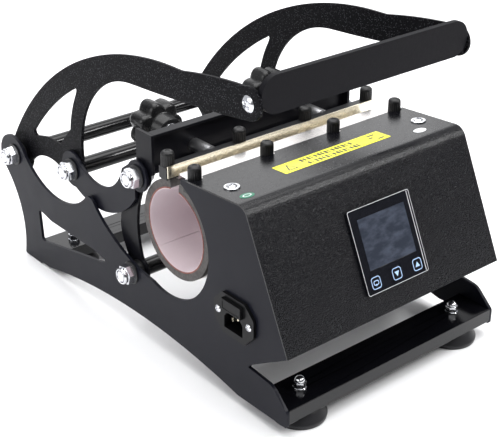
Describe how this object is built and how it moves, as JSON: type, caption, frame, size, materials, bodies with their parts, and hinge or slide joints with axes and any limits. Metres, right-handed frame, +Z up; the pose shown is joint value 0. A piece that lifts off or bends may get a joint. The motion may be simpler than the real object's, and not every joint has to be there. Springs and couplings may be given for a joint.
{
  "type": "mug heat press",
  "caption": "Manual mug heat press: over-centre toggle linkage closes a flexible heater round the mug, with star-knob pressure adjustment and a sloping control box.",
  "frame": {"origin": "on the floor under the middle of the footprint", "axes": "+X across the machine to the right as seen from its front, +Y to its rear, +Z up"},
  "size_m": [0.282, 0.4558, 0.3],
  "materials": {
    "plate_paint": "satin powder coat",
    "grain_paint": "black hammered powder coat with a fine sparkle",
    "black_paint": "gloss black paint",
    "chrome": "polished zinc plate",
    "bright_steel": "bright stainless steel",
    "black_oxide": "black oxide",
    "knob_plastic": "satin phenolic",
    "black_plastic": "fine texture",
    "panel_plastic": "gloss membrane",
    "display": "dark liquid crystal",
    "foam": "closed-cell silicone foam",
    "mat": "silicone sheet",
    "rubber": "moulded",
    "board": "solder mask",
    "brass": "plated",
    "label": "printed vinyl"
  },
  "bodies": {
    "base": {"left_base_plate": "plate_paint", "right_base_plate": "plate_paint", "front_cross_plate": "grain_paint", "rear_cross_plate": "grain_paint", "rubber_feet": "rubber", "foot_bolts": "chrome", "foot_acorn_nuts": "chrome", "pivot_rods": "chrome", "pivot_spacers": "black_oxide", "pivot_nuts": "chrome", "front_shell": "grain_paint", "box_floor": "plate_paint", "heat_shield": "bright_steel", "shell_brackets": "plate_paint", "shell_screws": "chrome", "controller_case": "black_plastic", "controller_panel": "panel_plastic", "display_window": "display", "controller_board": "board", "heater_relay": "black_plastic", "power_inlet": "black_plastic", "inlet_blades": "brass", "inlet_screws": "chrome", "front_clamp_bar": "black_oxide", "front_strip": "bright_steel", "front_cap_nuts": "black_plastic", "front_band": "bright_steel", "front_foam": "foam", "front_mat": "mat", "labels": "label"},
    "timer_key": {"timer_key": "panel_plastic"},
    "down_key": {"down_key": "panel_plastic"},
    "up_key": {"up_key": "panel_plastic"},
    "fuse_drawer": {"fuse_drawer": "black_plastic", "fuse": "brass"},
    "heater_rear": {"rear_band": "bright_steel", "rear_strip": "bright_steel", "rear_foam": "foam", "rear_mat": "mat"},
    "rocker": {"left_rocker": "plate_paint", "right_rocker": "plate_paint", "press_beam": "plate_paint", "rocker_tube": "black_paint", "rocker_pins": "chrome", "rod_sleeves": "chrome"},
    "clamp_bar": {"rear_clamp_bar": "black_oxide", "rear_cap_nuts": "black_plastic", "pressure_rods": "chrome"},
    "left_knob": {"left_knob": "knob_plastic"},
    "right_knob": {"right_knob": "knob_plastic"},
    "handle": {"left_arm": "grain_paint", "right_arm": "grain_paint", "handle_bar": "grain_paint", "handle_screws": "chrome", "handle_tubes": "black_paint"},
    "links": {"left_link": "plate_paint", "right_link": "plate_paint", "link_pins": "chrome", "crank_rod": "chrome", "crank_nuts": "chrome"}
  },
  "joints": [
    {"name": "handle_swing", "type": "hinge", "parent": "base", "child": "handle", "pos_m": [0, 0.196, 0.113], "axis": [-1, 0, 0], "range_deg": [0, 34]},
    {"name": "link_fold", "type": "hinge", "parent": "handle", "child": "links", "pos_m": [0, 0.092, 0.132], "axis": [-1, 0, 0], "range_deg": [-62.5, 0]},
    {"name": "rocker_tilt", "type": "hinge", "parent": "base", "child": "rocker", "pos_m": [0, -0.009, 0.064], "axis": [-1, 0, 0], "range_deg": [0, 15.2]},
    {"name": "heater_flex", "type": "hinge", "parent": "base", "child": "heater_rear", "pos_m": [0, -0.0335, 0.0945], "axis": [-1, 0, 0], "range_deg": [0, 17.8]},
    {"name": "left_knob_turn", "type": "hinge", "parent": "rocker", "child": "left_knob", "pos_m": [-0.067, 0.028, 0.183], "axis": [0, 1, 0], "range_deg": [0, 1236]},
    {"name": "right_knob_turn", "type": "hinge", "parent": "rocker", "child": "right_knob", "pos_m": [0.067, 0.028, 0.183], "axis": [0, 1, 0], "range_deg": [0, 1236]},
    {"name": "clamp_bar_slide", "type": "slide", "parent": "rocker", "child": "clamp_bar", "axis": [0, 1, 0], "range_m": [0, 0.006]},
    {"name": "fuse_drawer_slide", "type": "slide", "parent": "base", "child": "fuse_drawer", "axis": [-1, 0, 0], "range_m": [0, 0.018]},
    {"name": "timer_key_press", "type": "slide", "parent": "base", "child": "timer_key", "axis": [0, 0.9066, -0.422], "range_m": [0, 0.0005], "stiffness_N_per_m": 400, "springref_m": -0.0005},
    {"name": "down_key_press", "type": "slide", "parent": "base", "child": "down_key", "axis": [0, 0.9066, -0.422], "range_m": [0, 0.0005], "stiffness_N_per_m": 400, "springref_m": -0.0005},
    {"name": "up_key_press", "type": "slide", "parent": "base", "child": "up_key", "axis": [0, 0.9066, -0.422], "range_m": [0, 0.0005], "stiffness_N_per_m": 400, "springref_m": -0.0005}
  ],
  "couplings": [
    {"joint": "link_fold", "follows": "handle_swing", "ratio": -1.831},
    {"joint": "rocker_tilt", "follows": "handle_swing", "ratio": 0.445},
    {"joint": "heater_flex", "follows": "handle_swing", "ratio": 0.52},
    {"joint": "left_knob_turn", "follows": "clamp_bar_slide", "rad_per_m": 3590},
    {"joint": "right_knob_turn", "follows": "clamp_bar_slide", "rad_per_m": 3590}
  ]
}
